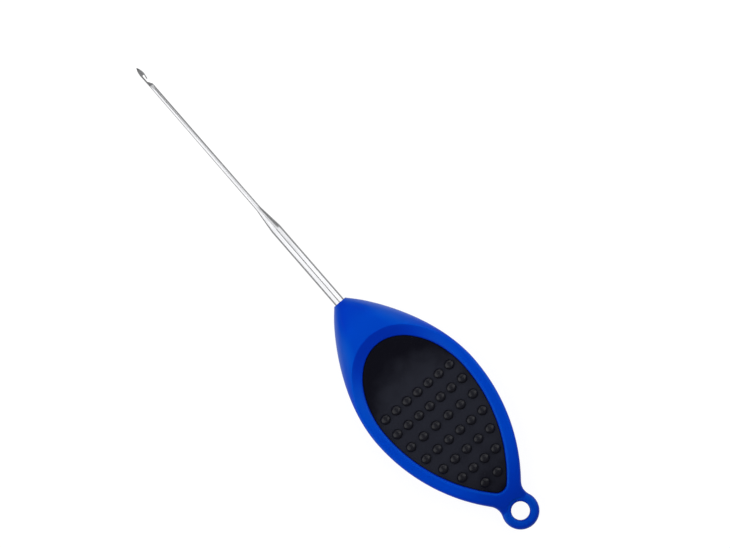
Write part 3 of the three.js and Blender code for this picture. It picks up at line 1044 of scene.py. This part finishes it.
def blackRubber():
    settings = {
        "Specular IOR Level": rubber["specular"],
        "Specular Tint": rubber["sheen"],
        "Coat Roughness": rubber["nubRoughness"],
    }
    material, shader, spot = startMaterial("black_grip_rubber", settings)
    raised = spot.mark("raised")
    grain = spot.noise(*rubber["grain"])
    specks = spot.noise(*rubber["specks"]).band(*rubber["speckBand"])
    patches = spot.noise(*rubber["patches"]).band(*rubber["patchBand"])
    aside = spot.axis(1)
    # greyed wear in an oval over the pad; the black outside it, under the dish's front wall and by the rims,
    # is painted shade
    ahead = spot.axis(0) - place(handle["widestAt"], 0, 0).x + aside * aside * rubber["wornBow"]
    across = aside * (1 / (rubber["wornAside"] * mm))
    front = (ahead * (1 / (rubber["wornAhead"] * mm))).atLeast(0)
    rear = (ahead * (-1 / (rubber["wornBehind"] * mm))).atLeast(0)
    oval = front * front + rear * rear + across * across + (patches - 0.5) * rubber["wornFray"]
    # the nubs' base is made blacker as painted shade
    wearAndShade = (1 - oval.band(*rubber["wornFade"])) * (1 - raised * rubber["nubPaintedShade"])
    dust = specks * patches * rubber["speckDepth"]
    dulled = patches * rubber["patchRoughness"] + grain * rubber["grainRoughness"]
    plug(
        shader,
        {
            "Base Color": dust.blend(wearAndShade.blend(rubber["colour"], rubber["wearAndShade"]), rubber["dust"]),
            "Roughness": rubber["roughness"] + dulled,
            "Coat Weight": raised * rubber["nubGloss"],
            "Normal": grain.bump(*rubber["grainBump"]),
        },
    )
    return material


def polishedSteel():
    material, shader, spot = startMaterial("polished_needle_steel", {"Metallic": 1})
    lines = spot.stretch(steel["stretch"]).noise(*steel["lines"])
    plug(
        shader,
        {
            "Base Color": lines.band(*steel["lineBand"]).blend(steel["colour"], steel["streak"]),
            "Roughness": steel["roughness"] + lines * steel["lineRoughness"],
            "Normal": lines.bump(*steel["lineBump"]),
        },
    )
    return material


makeHandle(bluePlastic())
print("handle done")
makePads(blackRubber())
print("pads done")
makeNeedle(polishedSteel())
print("needle done")

view = {
    "centre": (-0.68, -8.44),  # what the middle of the picture looks at, in millimetres
    "turn": -130.95,
    "pixels": 730,  # across the picture
    "pixelSize": 0.2243,  # millimetres, at the handle's middle
    "lens": 500,
}
studio = {
    "floor": (0.12, 0.12, 0.12, 1),
    "floorGlow": 0.9,  # the table is lit from below as well
    "floorSpecular": 0.1,
    "floorRoughness": 0.7,
    "floorSize": 1.6,
    "floorGap": 0.02,  # millimetres under the part
    "surround": [(0, 0.9), (0.3, 0.9), (0.42, 0.35), (0.5, 0.3), (0.8, 0.3), (1, 0.35)],  # from below up
    "backdrop": 8,
    "black": (0, 0, 0, 1),
    "white": (1, 1, 1, 1),
    "lamps": [  # place, size along, size across, brightness
        ((0.075, 0.3, 0.262), 0.35, 0.7, 2.5),
        ((-0.062, -0.3, 0.262), 0.176, 0.7, 2.8),
        ((0.034, -0.3, 0.262), 0.016, 0.7, 2.2),
        ((0.071, -0.3, 0.262), 0.058, 0.7, 0.45),
        ((0.22, -0.3, 0.262), 0.16, 0.7, 2),
        ((0.04575, -0.0292, 0.1004), 0.0395, 0.102, 1.3),
        ((0.0987, -0.0292, 0.1004), 0.02, 0.102, 1.3),
    ],
}


def makeFloor():
    deselectAll()
    under = cadLow.z - studio["floorGap"] * mm
    bpy.ops.mesh.primitive_plane_add(size=studio["floorSize"], location=(0, 0, under))
    floor = bpy.context.object
    floor.name = "pale_floor"
    settings = {
        "Base Color": studio["floor"],
        "Specular IOR Level": studio["floorSpecular"],
        "Roughness": studio["floorRoughness"],
        "Emission Color": studio["white"],
        "Emission Strength": studio["floorGlow"],
    }
    floor.data.materials.append(startMaterial("pale_floor", settings)[0])
    floor.visible_glossy = False  # the steel mirrors the dim room, not the bright table


# A plain bright shell far behind everything, for the low views
def makeBackdrop():
    deselectAll()
    bpy.ops.mesh.primitive_uv_sphere_add(segments=32, ring_count=16, radius=studio["backdrop"])
    shell = bpy.context.object
    shell.name = "pale_backdrop"
    settings = {"Base Color": studio["black"], "Emission Color": studio["white"], "Emission Strength": 1}
    shell.data.materials.append(startMaterial("pale_backdrop", settings)[0])
    shell.visible_glossy = False
    shell.visible_diffuse = False
    shell.visible_shadow = False


def makeLights():
    for spot, sizeAlong, sizeAcross, brightness in studio["lamps"]:
        deselectAll()
        bpy.ops.object.light_add(type="AREA", location=spot)
        lamp = bpy.context.object
        lamp.name = "softbox"
        lamp.data.shape = "RECTANGLE"
        lamp.data.size = sizeAlong
        lamp.data.size_y = sizeAcross
        lamp.data.energy = brightness * pi * sizeAlong * sizeAcross
        aim = Vector((spot[0], 0, midZ)) - lamp.location  # square across to the part
        lamp.rotation_euler = aim.to_track_quat("-Z", "Y").to_euler()
        lamp.visible_camera = False
    world = bpy.data.worlds.new("studio")
    world.use_nodes = True
    tree = world.node_tree
    away = Wire(tree, tree.nodes.new("ShaderNodeTexCoord").outputs["Generated"])
    height = away.axis(2) * 0.5 + 0.5  # 0 straight down, 1 straight up
    stops = [(at, (level, level, level, 1)) for at, level in studio["surround"]]
    plug(tree.nodes["Background"], {"Color": height.node("ValToRGB", {"stops": stops}, {"Fac": height})})
    tree.nodes["Background"].inputs["Strength"].default_value = 1
    bpy.context.scene.world = world
    bpy.context.scene.view_settings.view_transform = "Standard"


def makeCamera():
    camera = bpy.data.objects.new("camera", bpy.data.cameras.new("camera"))
    bpy.context.scene.collection.objects.link(camera)
    camera.data.lens = view["lens"]
    width = view["pixels"] * view["pixelSize"] * mm
    distance = width * camera.data.lens / camera.data.sensor_width
    camera.location = (view["centre"][0] * mm, view["centre"][1] * mm, midZ + distance)
    camera.rotation_euler = (0, 0, radians(view["turn"]))
    bpy.context.scene.camera = camera


makeFloor()
makeBackdrop()
makeLights()
makeCamera()
print("studio done")
